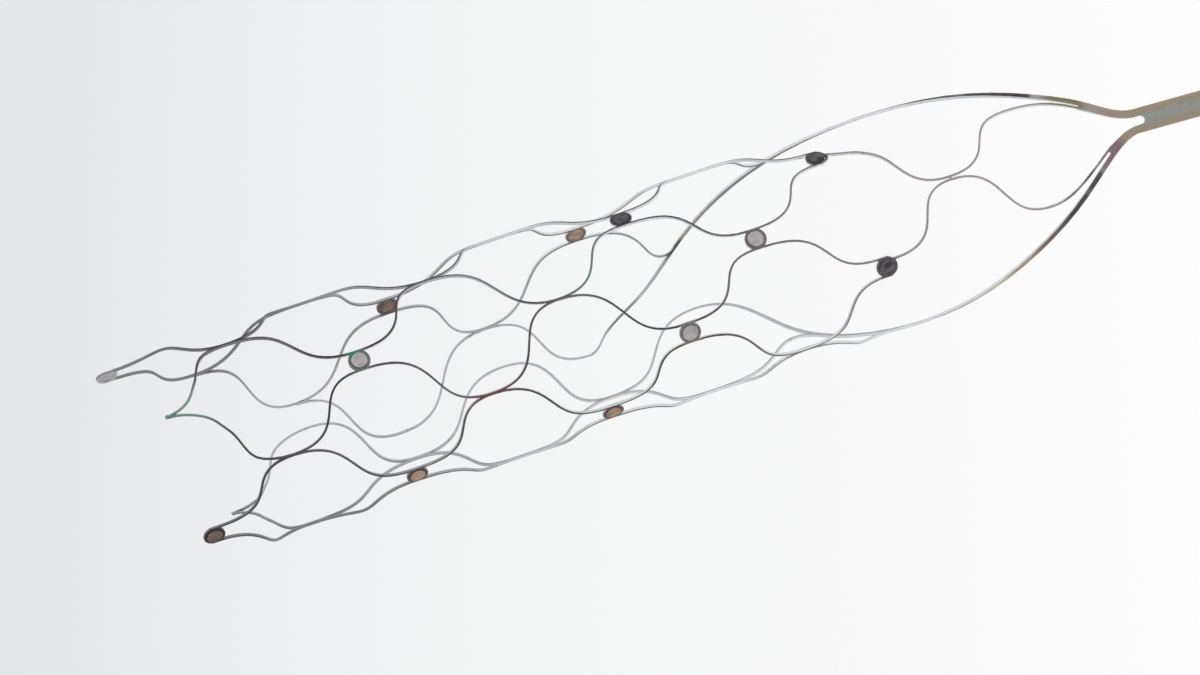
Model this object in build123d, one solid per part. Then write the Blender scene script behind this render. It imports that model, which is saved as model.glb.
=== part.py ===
from build123d import *
import math
import os

# Vascular stent: one laser-cut nitinol sheet pattern, rolled to an open tube with a
# slit along one side and a slanted mouth that runs out into a flat stem. Round
# radiopaque discs sit in eyelets of the mesh. The tube runs along X, from its loose
# tips to its stem, whose end holds it and is the origin.

# Driving dimensions: millimetres and degrees
tube_diameter = 6.0
wall_thickness = 0.08
strut_width = 0.06
weld_width = 0.08
rail_width = 0.14
front_arm_width = 0.28
back_arm_width = 0.26
web_width = 0.06

# The mesh lattice. A long strut leaves a weld towards the front, a short strut away
# from it. Each has its own reach along the tube and its own turn about it.
long_reach = 3.176
long_turn = 39.2
short_reach = 2.507
short_turn = -36.3
first_weld_turn = 6.9

# Handles of the S-curves, as shares of a strut's reach: how far it keeps along the
# tube after a weld, and before the next one. From a bare tip it is less, and from an
# eyelet more.
long_leave = 0.63
long_arrive = 0.61
short_leave = 0.76
short_arrive = 0.68
tip_leave = 0.45
eyelet_leave = 0.08

# Eyelets and their marker discs
eyelet_diameter = 0.61
bore_diameter = 0.45
eyelet_flat = 0.10
marker_proud = 0.016
marker_edge = 0.012
marker_fit_gap = 0.005

# Stem and fork
stem_width = 0.70
stem_length = 3.9
stem_skew = 2.9
fork_reach = 22.62
fork_turn = 17.6
notch_radius = 0.12

# Loose tips without a disc: how far the bare tip stands back from its lattice place,
# how steeply its two struts part there, and its round end
tip_setback = 0.22
tip_spread = 20.0
tip_diameter = 0.10

outer_radius = tube_diameter / 2
inner_radius = outer_radius - wall_thickness
arm_root_width = stem_width / 2 - notch_radius
cut_margin = 0.10
blank_margin = 1.0
curve_spacing = 0.35
fewest_stations = 5

# Welds that carry a marker disc, by their steps along the long and short struts
EYELETS = [(-2, 0), (0, -2), (-1, 2), (0, 0), (1, -1), (0, 3),
           (1, 2), (2, 1), (2, 0), (2, 2), (2, 3), (3, 2)]
BARE_TIPS = [(-1, -1), (1, -3)]
OPEN_WELD = (3, 3)
open_weld_gap = 0.03

# Where the pattern leaves the even lattice: shift along the tube, and turn about it
LOCAL_SHIFT = {
    (0, -2): (-0.12, -3.6),
    (-2, 0): (0.10, -14.5),
    (-2, 1): (0.0, -3.0),
    (-2, 2): (0.0, -2.5),
    (-1, -1): (0.0, -2.0),
    (-1, 2): (0.0, -2.0),
    (-1, 3): (0.0, 1.0),
    (0, 3): (-0.07, 2.2),
    (1, -3): (0.10, 10.0),
    (1, -2): (-0.40, 13.0),
    (2, -2): (0.0, 3.0),
    (3, -1): (0.0, -3.5),
    (2, -3): (0.0, 5.3),
    (-1, 4): (0.10, 4.8),
    (4, -1): (0.0, -6.0),
    (3, 2): (0.08, -2.6),
    (3, 3): (0.0, -0.8),
}

# Two struts leave their eyelet nearer its middle: the place there, along and across
LEAVES_INSIDE = {((2, 3), "long"): (0.10, -0.12), ((3, 2), "short"): (0.22, -0.17)}

# The strands: each starts at a loose tip or at the slit, runs along the tube in long
# and short struts by turns, and is welded side by side to its two neighbours.
STRANDS = [
    ((-2, 2), "short", 3),
    ((-2, 1), "short", 4),
    ((-2, 0), "short", 6),
    ((-2, 0), "long", 7),
    ((-1, -1), "short", 8),
    ((-1, -1), "long", 8),
    ((0, -2), "short", 7),
    ((0, -2), "long", 6),
    ((1, -3), "short", 5),
    ((1, -3), "long", 5),
]

# Rails: the thick free edges of the slanted mouth, from the last bend beside the slit
# to the fork. Each place is a share of that way: along the tube, and about it.
FRONT_RAIL_WELD = (4, -1)
FRONT_RAIL = [(0.182, 0.175), (0.307, 0.333), (0.534, 0.548), (0.656, 0.674), (0.829, 0.855), (0.951, 0.986)]
BACK_RAIL_WELD = (-1, 4)
BACK_RAIL = [(0.023, 0.023), (0.120, 0.121), (0.204, 0.228), (0.403, 0.456),
             (0.698, 0.705), (0.850, 0.859), (0.911, 0.925), (0.973, 0.993)]

# Struts that end in a rail: the weld that they leave, and the share of the rail's reach
# at which they end
FRONT_JOINS = [((3, 0), 0.254), ((3, 1), 0.407)]
BACK_JOINS = [((0, 3), 0.220), ((1, 3), 0.418)]

# The two struts from the open weld bend once more, and then run beside a rail until they
# join it to make an arm of the fork. The bend is at a share of the way to the fork, and
# at a share of a whole strut's turn. The run ends inside the arm's broad start.
front_run_bend = (0.449, 0.811)
front_arm_length = 1.05
back_run_bend = (0.386, 0.747)
back_arm_length = 1.42
run_leave = 0.33
run_arrive = 0.50
run_lap = 0.12
run_inset = 0.036


def flat(reach, turn):
    """A place on the cut sheet before it is rolled: reach along the tube, arc about it."""
    return Vector(reach, outer_radius * math.radians(turn))


def weld(step):
    """The middle of a weld of the lattice."""
    i, j = step
    shift, twist = LOCAL_SHIFT.get(step, (0.0, 0.0))
    return flat(
        i * long_reach + j * short_reach + shift,
        first_weld_turn + i * long_turn + j * short_turn + twist,
    )


def half_spread(step):
    """How far a strand's middle line runs beside the middle of its weld."""
    if step in EYELETS:
        return (eyelet_diameter - strut_width) / 2
    if step == OPEN_WELD:
        return (strut_width + open_weld_gap) / 2
    return (weld_width - strut_width) / 2


def straight(step):
    """Half the length that a strand runs straight along a weld."""
    return eyelet_flat if step in EYELETS else 0.0


def heading(degrees):
    return Vector(math.cos(math.radians(degrees)), math.sin(math.radians(degrees)))


def bend(start, start_heading, start_handle, end, end_heading, end_handle):
    return Edge.make_bezier(start, start + start_heading * start_handle, end - end_heading * end_handle, end)


def strip(line, left, right, start=0.0):
    """A flat strip beside a line. Left and right give how wide it is on each side, at
    its start and over its second half."""
    stations = max(fewest_stations, round(line.length * (1 - start) / curve_spacing))
    sides = []
    for side, (first, last) in ((1, left), (-1, right)):
        points = []
        for k in range(stations + 1):
            share = k / stations
            u = start + (1 - start) * share
            tangent = line.tangent_at(u)
            reach = first + (last - first) * min(1.0, 2.0 * share)
            points.append(line.position_at(u) + Vector(-tangent.Y, tangent.X) * reach * side)
        sides.append(Edge.make_spline(points))
    left_side, right_side = sides
    first_end = Edge.make_line(left_side @ 0, right_side @ 0)
    last_end = Edge.make_line(left_side @ 1, right_side @ 1)
    face = Face(Wire([left_side, right_side, first_end, last_end]))
    return face if face.normal_at().Z > 0 else -face


def ribbon(line):
    half = strut_width / 2
    return strip(line, (half, half), (half, half))


def step_on(step, kind):
    i, j = step
    return (i + 1, j) if kind == "long" else (i, j + 1)


def side_of(kind):
    """A strand leaves a weld on its front side by a long strut, and on its back side by a
    short one. It arrives the other way round."""
    return 1 if kind == "long" else -1


def leave_weld(step, kind):
    """Where a strut leaves a weld, and its heading there."""
    side = side_of(kind)
    if step in BARE_TIPS:
        return weld(step) + Vector(tip_setback, 0), heading(side * tip_spread)
    if (step, kind) in LEAVES_INSIDE:
        return weld(step) + Vector(*LEAVES_INSIDE[step, kind]), heading(0)
    return weld(step) + Vector(straight(step), side * half_spread(step)), heading(0)


def handles(step, kind):
    """The handles of a strut that leaves a given weld, as shares of its reach."""
    leave, arrive = (long_leave, long_arrive) if kind == "long" else (short_leave, short_arrive)
    if step in BARE_TIPS:
        leave = tip_leave
    elif step in EYELETS:
        leave += eyelet_leave
    return leave, arrive


def strut(step, kind):
    """The middle line of one S-shaped strut, from weld to weld."""
    end = step_on(step, kind)
    first, leaving = leave_weld(step, kind)
    last = weld(end) - Vector(straight(end), side_of(kind) * half_spread(end))
    run = last.X - first.X
    leave, arrive = handles(step, kind)
    return bend(first, leaving, leave * run, last, heading(0), arrive * run)


def bridge(step, side):
    """The straight stretch of a strand across an eyelet."""
    middle = weld(step) + Vector(0, side * half_spread(step))
    return Pos(middle.X, middle.Y) * Rectangle(2 * straight(step), strut_width).face()


def strand(step, kind, count):
    """One wavy strand: its struts, and the straight stretches across its eyelets."""
    pieces = []
    for _ in range(count):
        if step in EYELETS:
            pieces.append(bridge(step, side_of(kind)))
        pieces.append(ribbon(strut(step, kind)))
        step = step_on(step, kind)
        kind = "short" if kind == "long" else "long"
    if step in EYELETS:
        pieces.append(bridge(step, side_of(kind)))
    return pieces


def rail_line(first_weld, side, shares, end):
    """The middle line of a rail, from its bend beside the slit into the stem."""
    start = weld(first_weld) + Vector(0, side * half_spread(first_weld))
    way = end - start
    through = [start] + [start + Vector(way.X * along, way.Y * about) for along, about in shares] + [end]
    return Edge.make_spline(through, tangents=[heading(0), heading(stem_skew)])


def share_at(line, reach):
    """How far along a line, as a share of it, a given reach lies."""
    low, high = 0.0, 1.0
    for _ in range(30):
        middle = (low + high) / 2
        if line.position_at(middle).X < reach:
            low = middle
        else:
            high = middle
    return low


def rail_with_joins(line, kind, joins, run_bend, arm_length, arm_width):
    """A rail, the struts that end in it, and the arm that it makes with the strut that
    comes from the open weld. The mesh lies on the rail's side of the given strut."""
    inward = -side_of(kind)
    rail_half = rail_width / 2
    taper = (strut_width / 2, rail_half)
    pieces = [strip(line, taper, taper)]

    for step, share in joins:
        reach = line.position_at(0).X + share * (line.position_at(1).X - line.position_at(0).X)
        u = share_at(line, reach)
        first, leaving = leave_weld(step, kind)
        run = reach - first.X
        leave, arrive = handles(step, kind)
        middle = bend(first, leaving, leave * run, line.position_at(u), line.tangent_at(u), arrive * run)
        pieces.append(ribbon(middle))

    arm_start = fork_reach - arm_length
    start = share_at(line, arm_start)
    inner = (arm_width - rail_half, arm_root_width - rail_half)
    outer = (0.0, 0.0)
    pieces.append(strip(line, *((inner, outer) if inward > 0 else (outer, inner)), start))

    inside_arm = share_at(line, arm_start + run_lap)
    tangent = line.tangent_at(inside_arm)
    inset = arm_width - rail_half - run_inset
    arm_entry = line.position_at(inside_arm) + Vector(-tangent.Y, tangent.X) * inset * inward
    first, leaving = leave_weld(OPEN_WELD, kind)
    along, about = run_bend
    open_weld = weld(OPEN_WELD)
    turn = long_turn if kind == "long" else short_turn
    turn_back = Vector(open_weld.X + along * (fork_reach - open_weld.X), open_weld.Y) + flat(0, about * turn)
    run = turn_back.X - first.X
    leave, arrive = handles(OPEN_WELD, kind)
    pieces.append(ribbon(bend(first, leaving, leave * run, turn_back, heading(0), arrive * run)))
    run = arm_entry.X - turn_back.X
    pieces.append(ribbon(bend(turn_back, heading(0), run_leave * run, arm_entry, tangent, run_arrive * run)))
    return pieces


def disc(place, diameter):
    return Pos(place.X, place.Y) * Circle(diameter / 2).face()


def block(middle, length, width, degrees=0.0):
    return Pos(middle.X, middle.Y) * Rot(0, 0, degrees) * Rectangle(length, width).face()


def cut_sheet():
    """The whole pattern as it would lie flat: X along the tube, Y about it."""
    pieces = []
    for start, kind, count in STRANDS:
        pieces += strand(start, kind, count)
    pieces += [disc(weld(step), eyelet_diameter) for step in EYELETS]
    pieces += [disc(weld(step) + Vector(tip_setback, 0), tip_diameter) for step in BARE_TIPS]
    pieces.append(block(weld(OPEN_WELD), web_width, 2 * half_spread(OPEN_WELD)))

    fork = flat(fork_reach, fork_turn)
    along = heading(stem_skew)
    across = Vector(-along.Y, along.X) * (stem_width - rail_width) / 2
    front = rail_line(FRONT_RAIL_WELD, -1, FRONT_RAIL, fork + across)
    back = rail_line(BACK_RAIL_WELD, 1, BACK_RAIL, fork - across)
    pieces += rail_with_joins(front, "long", FRONT_JOINS, front_run_bend, front_arm_length, front_arm_width)
    pieces += rail_with_joins(back, "short", BACK_JOINS, back_run_bend, back_arm_length, back_arm_width)
    blank_length = stem_length + stem_width
    pieces.append(block(fork + along * blank_length / 2, blank_length, stem_width, stem_skew))
    return Sketch() + pieces - disc(fork, 2 * notch_radius)


def rolled(edge, radius):
    """An edge of the flat sheet, rolled up to a given radius about the X axis."""
    stations = max(fewest_stations, round(edge.length / curve_spacing))
    points = []
    for k in range(stations + 1):
        place = edge.position_at(k / stations)
        angle = place.Y / outer_radius
        points.append(Vector(place.X, -radius * math.sin(angle), radius * math.cos(angle)))
    return Edge.make_spline(points)


def kerf(sheet):
    """The path of the cut through the wall: radial faces along every edge of the sheet."""
    walls = []
    for edge in sheet.edges():
        inside = rolled(edge, inner_radius - cut_margin)
        outside = rolled(edge, outer_radius + cut_margin)
        walls.append(Face.make_surface_from_curves(inside, outside))
    return Compound(walls)


def radial(step):
    """A frame on the tube's outside at an eyelet, with Z pointing out of the wall."""
    place = weld(step)
    turn = math.degrees(place.Y / outer_radius)
    return Rot(turn, 0, 0) * Pos(place.X, 0, outer_radius)


def stent_mesh():
    """The mesh and stem: the tube's wall inside the pattern's outline, with the bores."""
    sheet = cut_sheet()
    box = sheet.bounding_box()
    start = box.min.X - blank_margin
    end = fork_reach + stem_length
    length = end - start
    blank = Cylinder(outer_radius, length) - Cylinder(inner_radius, length)
    blank = Pos((start + end) / 2, 0, 0) * Rot(0, 90, 0) * blank
    pieces = blank.solid().split(kerf(sheet), keep=Keep.ALL)
    wall = max(pieces, key=lambda piece: len(piece.faces()))
    bore = Cylinder(bore_diameter / 2, 2 * (wall_thickness + cut_margin))
    return Part() + wall - [radial(step) * bore for step in EYELETS]


def marker():
    """One disc, flush with the wall inside and proud of it outside, with a broken edge."""
    height = wall_thickness + marker_proud
    blank = Pos(0, 0, marker_proud - height / 2) * Cylinder(bore_diameter / 2 - marker_fit_gap, height)
    rim = blank.edges().filter_by(GeomType.CIRCLE).sort_by(Axis.Z)[-1]
    return chamfer(rim, marker_edge)


def stem_end():
    """The middle of the stem's end face."""
    turn = math.radians(fork_turn) + stem_length * math.tan(math.radians(stem_skew)) / outer_radius
    middle = outer_radius - wall_thickness / 2
    return Vector(fork_reach + stem_length, -middle * math.sin(turn), middle * math.cos(turn))


place = Pos(-stem_end())
os.makedirs("parts", exist_ok=True)
export_step(place * stent_mesh(), "parts/stent_mesh.step")
disc_solid = marker()
for number, step in enumerate(EYELETS, start=1):
    export_step(place * radial(step) * disc_solid, f"parts/marker_{number:02d}.step")
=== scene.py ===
import math

import bpy
from mathutils import Matrix, Vector


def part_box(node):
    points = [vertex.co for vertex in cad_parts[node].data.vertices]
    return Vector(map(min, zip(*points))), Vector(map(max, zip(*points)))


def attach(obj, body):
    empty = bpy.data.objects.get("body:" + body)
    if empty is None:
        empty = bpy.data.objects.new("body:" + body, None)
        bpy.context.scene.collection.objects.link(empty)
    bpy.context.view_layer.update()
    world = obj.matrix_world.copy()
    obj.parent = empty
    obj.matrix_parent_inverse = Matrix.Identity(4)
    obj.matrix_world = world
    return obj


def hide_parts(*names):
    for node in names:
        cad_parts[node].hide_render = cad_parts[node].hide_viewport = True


bl_info = {
    "name": "Vascular stent",
    "version": (1, 0, 0),
    "blender": (4, 5, 0),
    "location": "3D Viewport > Sidebar > Stent",
    "description": "Dresses a laser-cut stent: electropolished mesh, marker discs and studio",
    "category": "Object",
}

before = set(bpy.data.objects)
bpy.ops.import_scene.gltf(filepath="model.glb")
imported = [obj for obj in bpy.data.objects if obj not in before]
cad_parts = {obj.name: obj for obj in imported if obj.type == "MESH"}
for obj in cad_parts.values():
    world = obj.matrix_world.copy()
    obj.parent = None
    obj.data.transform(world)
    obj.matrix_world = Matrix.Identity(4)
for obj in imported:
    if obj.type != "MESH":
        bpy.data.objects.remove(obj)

MM = 0.001
SMOOTH_ANGLE = math.radians(40)

# The tube's axis and outer radius follow from the mesh's own box.
MESH_LOW, MESH_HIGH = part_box("stent_mesh")
AXIS_Y = (MESH_LOW.y + MESH_HIGH.y) / 2
AXIS_Z = (MESH_LOW.z + MESH_HIGH.z) / 2
TUBE_RADIUS = (MESH_HIGH.z - MESH_LOW.z) / 2

# The stem's middle line: its turn about the tube's axis at its end, and what that
# turn loses for each millimetre towards the mesh, in radians
STEM_END_TURN = 0.373
STEM_TURN_PER_MM = 0.0169

# Heat tints of the oxide on the mesh: millimetres back from the stem's end, degrees
# about the tube, how far the tint reaches in millimetres, and its colour
TINTS = (
    (8.79, -44.8, 1.0, "3A3538"),
    (7.78, -31.8, 0.60, "3A3538"),
    (7.24, -25.5, 0.36, "3A3538"),
    (6.95, -22.1, 0.33, "3A3538"),
    (6.66, -18.7, 0.30, "3A3538"),
    (5.75, -4.5, 0.8, "77735A"),
    (6.91, 60.5, 0.8, "453D40"),
    (6.22, 50.6, 0.6, "453D40"),
    (5.65, 40.5, 0.45, "453D40"),
    (7.35, 66.0, 0.9, "74655E"),
    (8.20, 80.0, 1.0, "A0927A"),
    (9.00, 92.0, 1.0, "B9B7A4"),
    (4.95, 31.0, 0.65, "80666F"),
    (23.32, 45.9, 0.9, "6B4A48"),
    (22.71, -10.8, 1.2, "66807A"),
    (19.62, -5.6, 1.3, "66807A"),
    (31.91, 1.6, 1.5, "7C9A8A"),
    (26.62, -1.0, 0.34, "3F7F69"),
    (15.95, -122.9, 1.5, "98938A"),
    (16.39, -130.3, 0.45, "4A494D"),
    (18.60, -150.0, 1.0, "7A7A84"),
)

# Struts that sit a little off the even pattern: the place on the tube, as above, the
# way they move, in millimetres towards the stem and degrees about the tube, and how far
# along the strut the move reaches. The solids don't have these moves.
SET_STRUTS = (
    (30.95, 20.0, 0.32, -3.0, 1.3),
    (31.26, -11.8, 0.21, 4.1, 1.2),
    (29.66, 178.2, 0.18, -3.0, 1.0),
    (29.90, 150.3, 0.14, 3.5, 1.0),
    (11.62, -22.5, 0.0, 4.0, 1.1),
)
# Corners this near the place, in millimetres, move the whole way. The faces about it
# are cut finer first, so that the strut bends in a curve.
STRUT_GRIP = 0.25
STRUT_CUTS = 2

# The finish of each marker disc, and the oxide on the eyelet round it. The finishes run from bright
# to dark, partly with the discs' own film and partly as painted light for how each disc faces the
# light; marker_01, seen edge-on, holds a painted reflection in its bright disc and pale eyelet.
BRIGHT, TAN, BROWN, BLACK = "bright", "tan", "brown", "black"
DISCS = {
    "marker_01": (BRIGHT, "B4B5B8"),
    "marker_02": (BROWN, "40363A"),
    "marker_03": (BROWN, "57504E"),
    "marker_04": (BRIGHT, "68726C"),
    "marker_05": (TAN, "4F4A47"),
    "marker_06": (TAN, "6E6762"),
    "marker_07": (BLACK, "454246"),
    "marker_08": (BRIGHT, "7C766E"),
    "marker_09": (TAN, "5B5450"),
    "marker_10": (BRIGHT, "716869"),
    "marker_11": (BLACK, "4A4649"),
    "marker_12": (BLACK, "565053"),
}
# How far that oxide reaches from a disc's middle, in millimetres, and the share of a
# reach within which a tint has its full strength
EYELET_REACH = 0.40
EYELET_CORE = 0.85
TINT_CORE = 0.45

# Steps inwards from a disc's rim, and the height that each gains, in millimetres: a
# shallow pressed ring, then a low crown
DISC_STEPS = ((0.020, -0.003), (0.030, 0.002), (0.050, 0.003), (0.050, 0.002))

# The studio paper's colours, from the left of the picture to the right: a painted light falloff,
# cool pale grey on the left to white on the right
PAPER_PAINTED_FALLOFF = ("E3E5E6", "EEEFF0", "F4F5F5", "F8F8F8", "FDFDFD")
# The picture's left to right along the floor: a metre along this direction counts for so many
# units, and the painted falloff runs from the first to the second of the span
PAINTED_FALLOFF_DIRECTION = (935.7, -352.8, 0.0)
PAINTED_FALLOFF_SPAN = (-41.0, 4.0)

# Stage: floor's side, lamp's size, place and aim, in metres, and the camera's place in
# millimetres and the way it looks
FLOOR_SIDE = 4.0
LAMP_WIDTH = 0.25
LAMP_PLACE = Vector((0.22, 0.10, 0.22))
LAMP_AIM = Vector((-0.01, 0.0, -0.02))
CAMERA_PLACE = Vector((-50.977, -82.563, 170.592))
CAMERA_LOOK = Vector((0.16080, 0.42646, -0.89010))


def linear(code):
    """An sRGB hex colour as linear red, green, blue and alpha."""
    channels = [int(code[k:k + 2], 16) / 255 for k in (0, 2, 4)]
    return [c / 12.92 if c <= 0.04045 else ((c + 0.055) / 1.055) ** 2.4 for c in channels] + [1.0]


def add(tree, kind, values=None, links=None, **settings):
    """Adds a node, with its settings, its inputs' values and its inputs' links."""
    node = tree.nodes.new(kind)
    for name, value in settings.items():
        setattr(node, name, value)
    for key, value in (values or {}).items():
        node.inputs[key].default_value = value
    for key, socket in (links or {}).items():
        tree.links.new(socket, node.inputs[key])
    return node


def new_material(name):
    material = bpy.data.materials.new(name)
    material.use_nodes = True
    tree = material.node_tree
    shader = tree.nodes["Principled BSDF"]
    return material, tree, shader


def place_on_tube(back, turn):
    """A place on the outside of the tube, in millimetres: how far back from the stem's
    end it lies, and its turn about the axis in degrees."""
    angle = math.radians(turn)
    radius = TUBE_RADIUS / MM
    return Vector((
        -back,
        AXIS_Y / MM - radius * math.sin(angle),
        AXIS_Z / MM + radius * math.cos(angle),
    ))


def mixed(tree, factor, first, second):
    """Mixes two colours, each a hex code or a socket."""
    node = add(tree, "ShaderNodeMix", data_type="RGBA")
    tree.links.new(factor, node.inputs["Factor"])
    for key, colour in ((6, first), (7, second)):
        if isinstance(colour, str):
            node.inputs[key].default_value = linear(colour)
        else:
            tree.links.new(colour, node.inputs[key])
    return node.outputs[2]


def electropolished_nitinol(colours):
    """Nitinol tube, laser cut, heat set and electropolished. The thin oxide gives it a
    dark brown-grey skin with teal, mauve and straw tints, and a soft satin gloss."""
    material, tree, shader = new_material("electropolished_nitinol")
    coords = add(tree, "ShaderNodeTexCoord")
    place = add(
        tree, "ShaderNodeVectorMath", {"Scale": 1 / MM}, {0: coords.outputs["Object"]},
        operation="SCALE",
    ).outputs[0]

    from_axis = add(
        tree, "ShaderNodeVectorMath", {1: (0, AXIS_Y / MM, AXIS_Z / MM)}, {0: place},
        operation="SUBTRACT",
    ).outputs[0]
    across = add(
        tree, "ShaderNodeVectorMath", {1: (0, 1, 1)}, {0: from_axis}, operation="MULTIPLY"
    ).outputs[0]
    outward = add(tree, "ShaderNodeVectorMath", links={0: across}, operation="NORMALIZE").outputs[0]
    facing = add(
        tree, "ShaderNodeVectorMath", links={0: outward, 1: coords.outputs["Normal"]},
        operation="DOT_PRODUCT",
    ).outputs["Value"]
    inside = add(
        tree, "ShaderNodeMapRange", {"From Min": -0.4, "From Max": -0.8}, {"Value": facing}
    ).outputs["Result"]

    # Oxide drifts over a few millimetres, and mottles over some tenths.
    drift = add(
        tree, "ShaderNodeTexNoise", {"Scale": 0.45, "Detail": 3.0}, {"Vector": place}
    ).outputs["Fac"]
    mottle = add(
        tree, "ShaderNodeTexNoise", {"Scale": 4.5, "Detail": 4.0, "Roughness": 0.6},
        {"Vector": place},
    ).outputs["Fac"]
    skin = add(tree, "ShaderNodeValToRGB", links={"Fac": drift})
    ramp = skin.color_ramp
    ramp.elements[0].position, ramp.elements[0].color = 0.36, linear(colours.strut_dark)
    ramp.elements[1].position, ramp.elements[1].color = 0.66, linear(colours.strut_light)
    middle = ramp.elements.new(0.5)
    middle.color = linear(colours.strut_middle)
    colour = skin.outputs["Color"]

    # Stem and arms: bare blue-grey along the middle, mottled pink and olive by the edges
    parts = add(tree, "ShaderNodeSeparateXYZ", links={0: from_axis})
    sideways = add(
        tree, "ShaderNodeMath", {1: -1.0}, {0: parts.outputs["Y"]}, operation="MULTIPLY"
    ).outputs[0]
    turn = add(
        tree, "ShaderNodeMath", links={0: sideways, 1: parts.outputs["Z"]}, operation="ARCTAN2"
    ).outputs[0]
    middle_turn = add(
        tree, "ShaderNodeMath", {1: STEM_TURN_PER_MM, 2: STEM_END_TURN}, {0: parts.outputs["X"]},
        operation="MULTIPLY_ADD",
    ).outputs[0]
    off_middle = add(
        tree, "ShaderNodeMath", links={0: turn, 1: middle_turn}, operation="SUBTRACT"
    ).outputs[0]
    off_middle = add(tree, "ShaderNodeMath", links={0: off_middle}, operation="ABSOLUTE").outputs[0]
    ragged = add(
        tree, "ShaderNodeMath", {1: 0.10, 2: -0.05}, {0: mottle}, operation="MULTIPLY_ADD"
    ).outputs[0]
    off_middle = add(
        tree, "ShaderNodeMath", links={0: off_middle, 1: ragged}, operation="ADD"
    ).outputs[0]
    by_edge = add(
        tree, "ShaderNodeMapRange", {"From Min": 0.02, "From Max": 0.07}, {"Value": off_middle},
        interpolation_type="SMOOTHSTEP",
    ).outputs["Result"]
    patches = add(
        tree, "ShaderNodeTexNoise", {"Scale": 8.0, "Detail": 4.0, "Roughness": 0.7},
        {"Vector": place},
    ).outputs["Fac"]
    pink_or_olive = add(
        tree, "ShaderNodeMapRange", {"From Min": 0.44, "From Max": 0.54}, {"Value": patches}
    ).outputs["Result"]
    edge_colour = mixed(tree, pink_or_olive, colours.stem_olive, colours.stem_pink)
    stem_colour = mixed(tree, by_edge, colours.stem_middle, edge_colour)
    at_stem = add(
        tree, "ShaderNodeMapRange", {"From Min": -5.5, "From Max": -4.6},
        {"Value": parts.outputs["X"]}, interpolation_type="SMOOTHSTEP",
    ).outputs["Result"]
    # Towards the loose end of the open mouth, the struts turn paler and mauve.
    pale_share = add(
        tree, "ShaderNodeMapRange", {"From Min": -19.0, "From Max": -8.0, "To Max": 0.88},
        {"Value": parts.outputs["X"]}, interpolation_type="SMOOTHSTEP",
    ).outputs["Result"]
    colour = mixed(tree, pale_share, colour, colours.mouth)
    colour = mixed(tree, at_stem, colour, stem_colour)

    # Inside, the wall is brighter and cooler. Its extra brightness along the tube's underside is
    # painted light.
    under = add(
        tree, "ShaderNodeMapRange", {"From Min": -0.5, "From Max": -2.6},
        {"Value": parts.outputs["Z"]},
    ).outputs["Result"]
    inner = mixed(tree, under, colours.inside_dark, colours.inside_under_painted_light)
    colour = mixed(tree, inside, colour, inner)

    # Heat tints, each about its own place
    tints = [
        (sum(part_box(node), Vector()) / 2 / MM, EYELET_REACH, EYELET_CORE, ring)
        for node, (_, ring) in DISCS.items()
    ]
    tints += [
        (place_on_tube(back, about), reach, TINT_CORE, code)
        for back, about, reach, code in TINTS
    ]
    for middle, reach, core, code in tints:
        away = add(
            tree, "ShaderNodeVectorMath", {1: middle}, {0: place}, operation="DISTANCE"
        ).outputs["Value"]
        share = add(
            tree, "ShaderNodeMapRange",
            {"From Min": reach, "From Max": reach * core, "To Max": 0.9}, {"Value": away},
            interpolation_type="SMOOTHSTEP",
        ).outputs["Result"]
        colour = mixed(tree, share, colour, code)

    # The radial cut faces are bare metal, drawn near white: partly their own bright metal, partly a
    # painted highlight, the pale glint of the struts' sides at the tube's edges. They are less
    # bright by the loose tips.
    cut_face = add(tree, "ShaderNodeMath", links={0: facing}, operation="ABSOLUTE").outputs[0]
    bare_cut_and_highlight_share = add(
        tree, "ShaderNodeMapRange", {"From Min": 0.60, "From Max": 0.25, "To Max": 0.9},
        {"Value": cut_face},
    ).outputs["Result"]
    by_stem = add(
        tree, "ShaderNodeMapRange", {"From Min": -28.0, "From Max": -20.0},
        {"Value": parts.outputs["X"]},
    ).outputs["Result"]
    bare_cut_and_highlight_colour = mixed(tree, by_stem, colours.cut_face_loose, colours.cut_face)
    colour = mixed(tree, bare_cut_and_highlight_share, colour, bare_cut_and_highlight_colour)

    # Etching pits show as small dark specks. Real ones are finer than a pixel, so they
    # are drawn coarser, some 0.05 mm wide.
    specks = add(
        tree, "ShaderNodeTexNoise", {"Scale": 11.0, "Detail": 2.0}, {"Vector": place}
    ).outputs["Fac"]
    speck_share = add(
        tree, "ShaderNodeMapRange", {"From Min": 0.64, "From Max": 0.74, "To Max": 0.45},
        {"Value": specks},
    ).outputs["Result"]
    colour = mixed(tree, speck_share, colour, colours.speck)

    tree.links.new(colour, shader.inputs["Base Color"])

    shader.inputs["Metallic"].default_value = 1.0
    gloss = add(
        tree, "ShaderNodeMapRange",
        {"From Min": 0.3, "From Max": 0.7, "To Min": 0.26, "To Max": 0.44}, {"Value": mottle},
    ).outputs["Result"]
    tree.links.new(gloss, shader.inputs["Roughness"])
    # Electropolish leaves a fine orange peel, which softens the gloss. It is drawn
    # coarser than it is, at some 0.06 mm, because it is finer than a pixel.
    peel = add(
        tree, "ShaderNodeTexNoise", {"Scale": 16.0, "Detail": 3.0}, {"Vector": place}
    ).outputs["Fac"]
    bump = add(
        tree, "ShaderNodeBump", {"Strength": 0.35, "Distance": 0.004 * MM}, {"Height": peel}
    ).outputs["Normal"]
    tree.links.new(bump, shader.inputs["Normal"])
    return material


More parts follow.
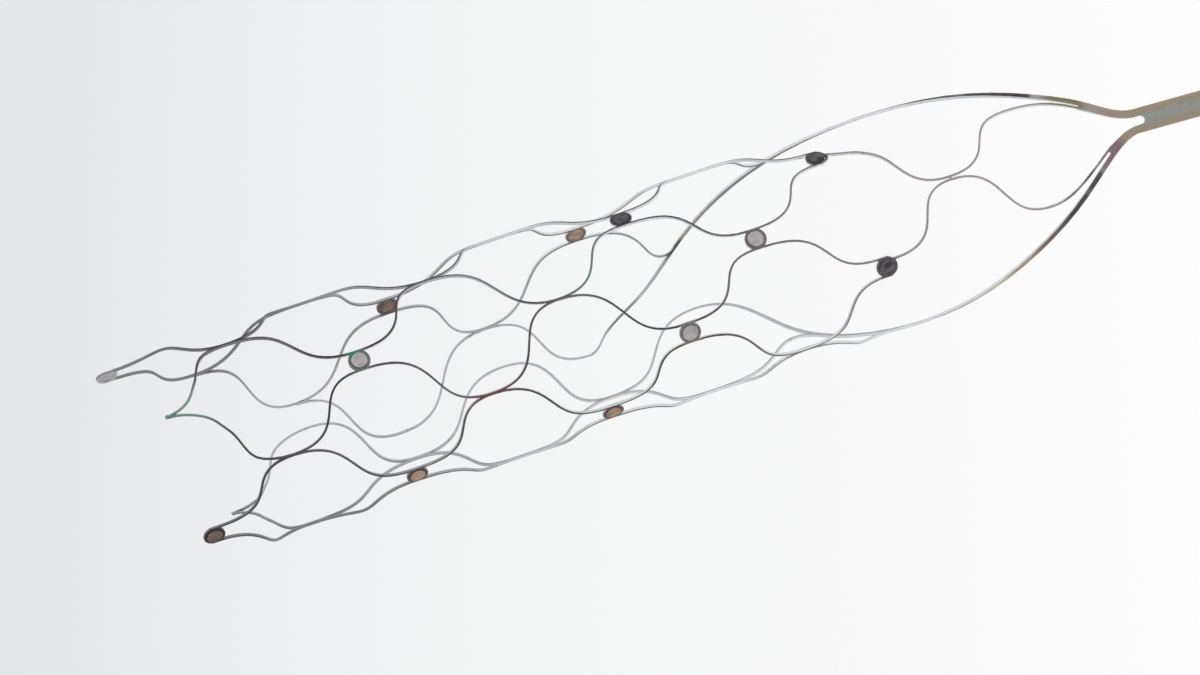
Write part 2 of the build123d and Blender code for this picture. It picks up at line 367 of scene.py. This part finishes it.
def pressed_disc_metal(name, light, dark, roughness, grain):
    """Tantalum disc, punched and pressed into its eyelet. Punching leaves a matt grain,
    and the alloy keeps a grey to brown film that is darker where it is thicker."""
    material, tree, shader = new_material(name)
    coords = add(tree, "ShaderNodeTexCoord")
    place = add(
        tree, "ShaderNodeVectorMath", {"Scale": 1 / MM}, {0: coords.outputs["Object"]},
        operation="SCALE",
    ).outputs[0]
    film = add(
        tree, "ShaderNodeTexNoise", {"Scale": 5.0, "Detail": 4.0, "Roughness": 0.6},
        {"Vector": place},
    ).outputs["Fac"]
    share = add(
        tree, "ShaderNodeMapRange", {"From Min": 0.35, "From Max": 0.65}, {"Value": film}
    ).outputs["Result"]
    tree.links.new(mixed(tree, share, dark, light), shader.inputs["Base Color"])
    shader.inputs["Metallic"].default_value = 1.0
    shader.inputs["Roughness"].default_value = roughness
    pits = add(
        tree, "ShaderNodeTexNoise", {"Scale": 22.0, "Detail": 3.0}, {"Vector": place}
    ).outputs["Fac"]
    bump = add(
        tree, "ShaderNodeBump", {"Strength": grain, "Distance": 0.006 * MM}, {"Height": pits}
    ).outputs["Normal"]
    tree.links.new(bump, shader.inputs["Normal"])
    return material


def matt_paper_painted_falloff():
    """Seamless studio paper: matt, with no gloss that would mirror the lights. Its colour holds a
    painted light falloff, softly from white to a cool pale grey across the picture."""
    material, tree, shader = new_material("studio_paper_painted_falloff")
    coords = add(tree, "ShaderNodeTexCoord")
    across = add(
        tree, "ShaderNodeVectorMath", {1: PAINTED_FALLOFF_DIRECTION}, {0: coords.outputs["Object"]},
        operation="DOT_PRODUCT",
    ).outputs["Value"]
    share = add(
        tree, "ShaderNodeMapRange", {"From Min": PAINTED_FALLOFF_SPAN[0], "From Max": PAINTED_FALLOFF_SPAN[1]},
        {"Value": across},
    ).outputs["Result"]
    # The ramp paints the light's falloff across the floor into the paper's colour.
    painted_falloff = add(tree, "ShaderNodeValToRGB", links={"Fac": share})
    ramp = painted_falloff.color_ramp
    ramp.elements[0].color = linear(PAPER_PAINTED_FALLOFF[0])
    ramp.elements[1].color = linear(PAPER_PAINTED_FALLOFF[-1])
    for k, code in enumerate(PAPER_PAINTED_FALLOFF[1:-1], start=1):
        ramp.elements.new(k / (len(PAPER_PAINTED_FALLOFF) - 1)).color = linear(code)
    tree.links.new(painted_falloff.outputs["Color"], shader.inputs["Base Color"])
    shader.inputs["Roughness"].default_value = 0.95
    shader.inputs["Specular IOR Level"].default_value = 0.0
    return material


def deselect_all():
    if bpy.context.object and bpy.context.object.mode != "OBJECT":
        bpy.ops.object.mode_set(mode="OBJECT")
    bpy.ops.object.select_all(action="DESELECT")


def only(obj):
    """Selects one object and makes it active."""
    deselect_all()
    obj.select_set(True)
    bpy.context.view_layer.objects.active = obj


def pick(obj, kind, test):
    """In edit mode, selects the vertices or faces that pass a test, and no others."""
    bpy.ops.mesh.select_mode(type=kind)
    bpy.ops.mesh.select_all(action="DESELECT")
    bpy.ops.object.mode_set(mode="OBJECT")
    elements = {"VERT": obj.data.vertices, "FACE": obj.data.polygons}[kind]
    for element in elements:
        element.select = test(element)
    bpy.ops.object.mode_set(mode="EDIT")


def finished(obj, material, slot, *nodes):
    """Gives a piece its material, ties it to the body and hides the nodes it stands for."""
    obj.data.materials.clear()
    obj.data.materials.append(material)
    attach(obj, "root")
    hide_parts(*nodes)


def copy_of(source, name):
    """A copy of an object with a mesh of its own, shown and selected by itself."""
    made = source.copy()
    made.data = source.data.copy()
    made.name = made.data.name = name
    for key in list(made.keys()):
        if key.startswith("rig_"):
            del made[key]
    made.parent = None
    made.matrix_world = Matrix.Identity(4)
    bpy.context.scene.collection.objects.link(made)
    only(made)
    return made


class StentWallSettings(bpy.types.PropertyGroup):
    """Sizes of the mesh's finish."""
    weld_distance: bpy.props.FloatProperty(
        name="Merge distance", description="Corners nearer than this are one corner",
        default=0.0002 * MM, min=0.0, subtype="DISTANCE", unit="LENGTH", precision=6,
    )
    edge_round: bpy.props.FloatProperty(
        name="Edge rounding", description="How far electropolish rounds the cut edges",
        default=0.010 * MM, min=0.0, subtype="DISTANCE", unit="LENGTH", precision=6,
    )
    edge_angle: bpy.props.FloatProperty(
        name="Edge angle", description="An edge sharper than this is rounded",
        default=math.radians(50), subtype="ANGLE", unit="ROTATION",
    )


class StentDiscSettings(bpy.types.PropertyGroup):
    """Sizes of a marker disc."""
    radius: bpy.props.FloatProperty(
        name="Radius", description="Radius of a marker disc",
        default=0.22 * MM, min=0.0, subtype="DISTANCE", unit="LENGTH", precision=6,
    )
    proud: bpy.props.FloatProperty(
        name="Proud", description="How far a disc stands out of the wall",
        default=0.016 * MM, min=0.0, subtype="DISTANCE", unit="LENGTH", precision=6,
    )
    height: bpy.props.FloatProperty(
        name="Height", description="Height of a disc, from inside the wall to its crown",
        default=0.096 * MM, min=0.0, subtype="DISTANCE", unit="LENGTH", precision=6,
    )
    rim: bpy.props.FloatProperty(
        name="Rim rounding", description="Rounding of a disc's rims",
        default=0.012 * MM, min=0.0, subtype="DISTANCE", unit="LENGTH", precision=6,
    )
    sides: bpy.props.IntProperty(
        name="Sides", description="Number of facets round a disc", default=48, min=12,
    )


class StentColours(bpy.types.PropertyGroup):
    """Colours, as sRGB hex codes."""
    strut_dark: bpy.props.StringProperty(
        name="Strut, dark", description="Thickest oxide on the struts", default="3F393B",
    )
    strut_middle: bpy.props.StringProperty(
        name="Strut, middle", description="Usual oxide on the struts", default="524C4E",
    )
    strut_light: bpy.props.StringProperty(
        name="Strut, light", description="Thinnest oxide on the struts", default="6B6468",
    )
    stem_middle: bpy.props.StringProperty(
        name="Stem, middle", description="Blue-grey metal along the stem", default="8F928E",
    )
    stem_pink: bpy.props.StringProperty(
        name="Stem, pink", description="Pinkish film by the stem's edges", default="9E8880",
    )
    stem_olive: bpy.props.StringProperty(
        name="Stem, olive", description="Olive film by the stem's edges", default="8C8C76",
    )
    speck: bpy.props.StringProperty(
        name="Speck", description="Etching pits", default="4C4643",
    )
    mouth: bpy.props.StringProperty(
        name="Mouth", description="Paler oxide on the struts of the open mouth", default="A69DA1",
    )
    inside_dark: bpy.props.StringProperty(
        name="Inside, upper", description="The wall's inner surface at the tube's sides",
        default="77757B",
    )
    # The inner surface along the underside, brightened with painted light
    inside_under_painted_light: bpy.props.StringProperty(
        name="Inside, under", description="The wall's inner surface along the underside",
        default="B4B4B9",
    )
    # Near white: partly bare metal, partly a painted highlight
    cut_face: bpy.props.StringProperty(
        name="Cut face", description="Bare metal of the radial cut faces", default="DFE2E5",
    )
    cut_face_loose: bpy.props.StringProperty(
        name="Cut face, loose end", description="The cut faces by the loose tips", default="85838A",
    )


class StentStageSettings(bpy.types.PropertyGroup):
    """Camera, floor and lights."""
    drop: bpy.props.FloatProperty(
        name="Floor below", description="How far below the tube the floor lies",
        default=60 * MM, min=0.0, subtype="DISTANCE", unit="LENGTH",
    )
    lens: bpy.props.FloatProperty(
        name="Lens", description="Focal length, millimetres on a 36 mm sensor",
        default=212.36, min=1.0,
    )
    sky: bpy.props.FloatProperty(
        name="Sky", description="Brightness of the even light", default=1.0, min=0.0,
    )
    lamp: bpy.props.FloatProperty(
        name="Lamp", description="Power of the soft light",
        default=0.02, min=0.0, subtype="POWER", unit="POWER",
    )


class STENT_OT_wall(bpy.types.Operator):
    """Copies the cut wall, merges it, sets some struts, rounds its cut edges and gives it
    its oxide"""
    bl_idname = "stent.wall"
    bl_label = "Mesh wall"

    def execute(self, context):
        sizes = context.scene.stent_wall
        wall = copy_of(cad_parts["stent_mesh"], "cut_mesh")
        bpy.ops.object.mode_set(mode="EDIT")
        bpy.ops.mesh.select_all(action="SELECT")
        bpy.ops.mesh.remove_doubles(threshold=sizes.weld_distance)
        bpy.ops.mesh.normals_make_consistent(inside=False)
        for back, turn, along, about, reach in SET_STRUTS:
            start = place_on_tube(back, turn) * MM
            end = place_on_tube(back - along, turn + about) * MM
            pick(wall, "FACE", lambda face: (face.center - start).length < reach * MM)
            bpy.ops.mesh.subdivide(number_cuts=STRUT_CUTS)
            pick(wall, "VERT", lambda corner: (corner.co - start).length < STRUT_GRIP * MM)
            if not any(corner.select for corner in wall.data.vertices):
                raise RuntimeError(f"No strut lies {back} mm from the stem's end at {turn} degrees")
            bpy.ops.transform.translate(
                value=end - start, use_proportional_edit=True, use_proportional_connected=True,
                proportional_edit_falloff="SMOOTH", proportional_size=reach * MM,
            )
        bpy.ops.mesh.select_mode(type="EDGE")
        bpy.ops.mesh.select_all(action="DESELECT")
        bpy.ops.mesh.edges_select_sharp(sharpness=sizes.edge_angle)
        bpy.ops.mesh.bevel(
            offset_type="OFFSET", offset=sizes.edge_round, segments=2, profile=0.5,
            clamp_overlap=False,
        )
        bpy.ops.object.mode_set(mode="OBJECT")
        bpy.ops.object.shade_smooth_by_angle(angle=SMOOTH_ANGLE)
        if not wall.data.polygons:
            raise RuntimeError("The mesh wall came out empty")
        nitinol = electropolished_nitinol(context.scene.stent_colours)
        finished(wall, nitinol, "nitinol", "stent_mesh")
        return {"FINISHED"}


class STENT_OT_discs(bpy.types.Operator):
    """Models one crowned marker disc and seats a copy in every eyelet"""
    bl_idname = "stent.discs"
    bl_label = "Marker discs"

    def execute(self, context):
        sizes = context.scene.stent_discs
        # Copies of one tantalum from bright to dark: partly film colour, partly painted light.
        disc_film_and_painted_light = {
            BRIGHT: pressed_disc_metal("pressed_tantalum_bright", "B4AFB1", "9C989A", 0.38, 0.3),
            TAN: pressed_disc_metal("pressed_tantalum_tan", "AB9483", "876F60", 0.42, 0.4),
            BROWN: pressed_disc_metal("pressed_tantalum_brown", "82706A", "5F504C", 0.42, 0.4),
            BLACK: pressed_disc_metal("pressed_tantalum_dark", "726E72", "434043", 0.60, 0.9),
        }
        deselect_all()
        top = sizes.proud
        bpy.ops.mesh.primitive_cylinder_add(
            vertices=sizes.sides, radius=sizes.radius, depth=sizes.height, end_fill_type="NGON",
            location=(0, 0, top - sizes.height / 2),
        )
        pattern = context.object
        bpy.ops.object.transform_apply(location=True, rotation=True, scale=True)
        bpy.ops.object.mode_set(mode="EDIT")
        pick(pattern, "FACE", lambda face: abs(face.normal.z) > 0.9)
        bpy.ops.mesh.region_to_loop()
        bpy.ops.mesh.bevel(offset_type="OFFSET", offset=sizes.rim, segments=3, profile=0.5)
        pick(
            pattern, "FACE",
            lambda face: face.normal.z > 0.99 and face.center.z > top - sizes.rim / 2,
        )
        for inset, lift in DISC_STEPS:
            bpy.ops.mesh.inset(thickness=inset * MM, depth=lift * MM, use_even_offset=True)
        bpy.ops.object.mode_set(mode="OBJECT")
        bpy.ops.object.shade_smooth_by_angle(angle=SMOOTH_ANGLE)

        for node, (finish, _) in DISCS.items():
            low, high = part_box(node)
            middle = (low + high) / 2
            out = Vector((0, middle.y - AXIS_Y, middle.z - AXIS_Z)).normalized()
            disc = copy_of(pattern, node.replace("marker", "disc"))
            disc.rotation_mode = "XYZ"
            disc.rotation_euler = (math.atan2(-out.y, out.z), 0, 0)
            disc.location = Vector((middle.x, AXIS_Y, AXIS_Z)) + out * TUBE_RADIUS
            bpy.ops.object.transform_apply(location=True, rotation=True, scale=True)
            finished(disc, disc_film_and_painted_light[finish], "marker_metal", node)
        bpy.data.objects.remove(pattern)
        return {"FINISHED"}


class STENT_OT_stage(bpy.types.Operator):
    """Sets up the pale floor, the soft light and the camera"""
    bl_idname = "stent.stage"
    bl_label = "Stage"

    def execute(self, context):
        settings = context.scene.stent_stage
        deselect_all()
        centre = (MESH_LOW + MESH_HIGH) / 2
        bpy.ops.mesh.primitive_plane_add(
            size=FLOOR_SIDE, location=(centre.x, centre.y, MESH_LOW.z - settings.drop)
        )
        floor = context.object
        floor.name = floor.data.name = "studio_floor"
        bpy.ops.object.transform_apply(location=True, rotation=True, scale=True)
        floor.data.materials.append(matt_paper_painted_falloff())

        world = bpy.data.worlds.new("studio")
        world.use_nodes = True
        backdrop = world.node_tree.nodes["Background"]
        backdrop.inputs["Color"].default_value = linear("FFFFFF")
        backdrop.inputs["Strength"].default_value = settings.sky
        context.scene.world = world

        lamp_data = bpy.data.lights.new("soft_box", "AREA")
        lamp_data.shape = "DISK"
        lamp_data.size = LAMP_WIDTH
        lamp_data.energy = settings.lamp
        lamp = bpy.data.objects.new("soft_box", lamp_data)
        lamp.location = LAMP_PLACE
        aim = LAMP_AIM - LAMP_PLACE
        lamp.rotation_mode = "QUATERNION"
        lamp.rotation_quaternion = aim.to_track_quat("-Z", "Y")
        context.scene.collection.objects.link(lamp)

        camera_data = bpy.data.cameras.new("camera")
        camera_data.lens = settings.lens
        camera_data.sensor_width = 36.0
        camera_data.clip_start = 0.01
        camera_data.clip_end = 10.0
        camera = bpy.data.objects.new("camera", camera_data)
        camera.location = CAMERA_PLACE * MM
        camera.rotation_mode = "QUATERNION"
        camera.rotation_quaternion = CAMERA_LOOK.to_track_quat("-Z", "Y")
        context.scene.collection.objects.link(camera)
        context.scene.camera = camera
        context.scene.view_settings.view_transform = "Standard"
        return {"FINISHED"}


class STENT_PT_parts(bpy.types.Panel):
    """Lists the pieces of the stent"""
    bl_idname = "STENT_PT_parts"
    bl_label = "Vascular stent"
    bl_space_type = "VIEW_3D"
    bl_region_type = "UI"
    bl_category = "Stent"

    def draw(self, context):
        scene = context.scene
        for operator, settings in (
            ("stent.wall", scene.stent_wall),
            ("stent.discs", scene.stent_discs),
            ("stent.stage", scene.stent_stage),
        ):
            box = self.layout.box()
            box.operator(operator)
            for name in settings.__annotations__:
                box.prop(settings, name)
        box = self.layout.box()
        for name in scene.stent_colours.__annotations__:
            box.prop(scene.stent_colours, name)


GROUPS = {
    "stent_wall": StentWallSettings,
    "stent_discs": StentDiscSettings,
    "stent_colours": StentColours,
    "stent_stage": StentStageSettings,
}
CLASSES = (*GROUPS.values(), STENT_OT_wall, STENT_OT_discs, STENT_OT_stage, STENT_PT_parts)


def register():
    for cls in CLASSES:
        bpy.utils.register_class(cls)
    for name, group in GROUPS.items():
        setattr(bpy.types.Scene, name, bpy.props.PointerProperty(type=group))


def unregister():
    for name in GROUPS:
        delattr(bpy.types.Scene, name)
    for cls in reversed(CLASSES):
        bpy.utils.unregister_class(cls)


def main():
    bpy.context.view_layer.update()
    register()
    bpy.ops.stent.wall()
    bpy.ops.stent.discs()
    bpy.ops.stent.stage()


if __name__ == "__main__":
    main()
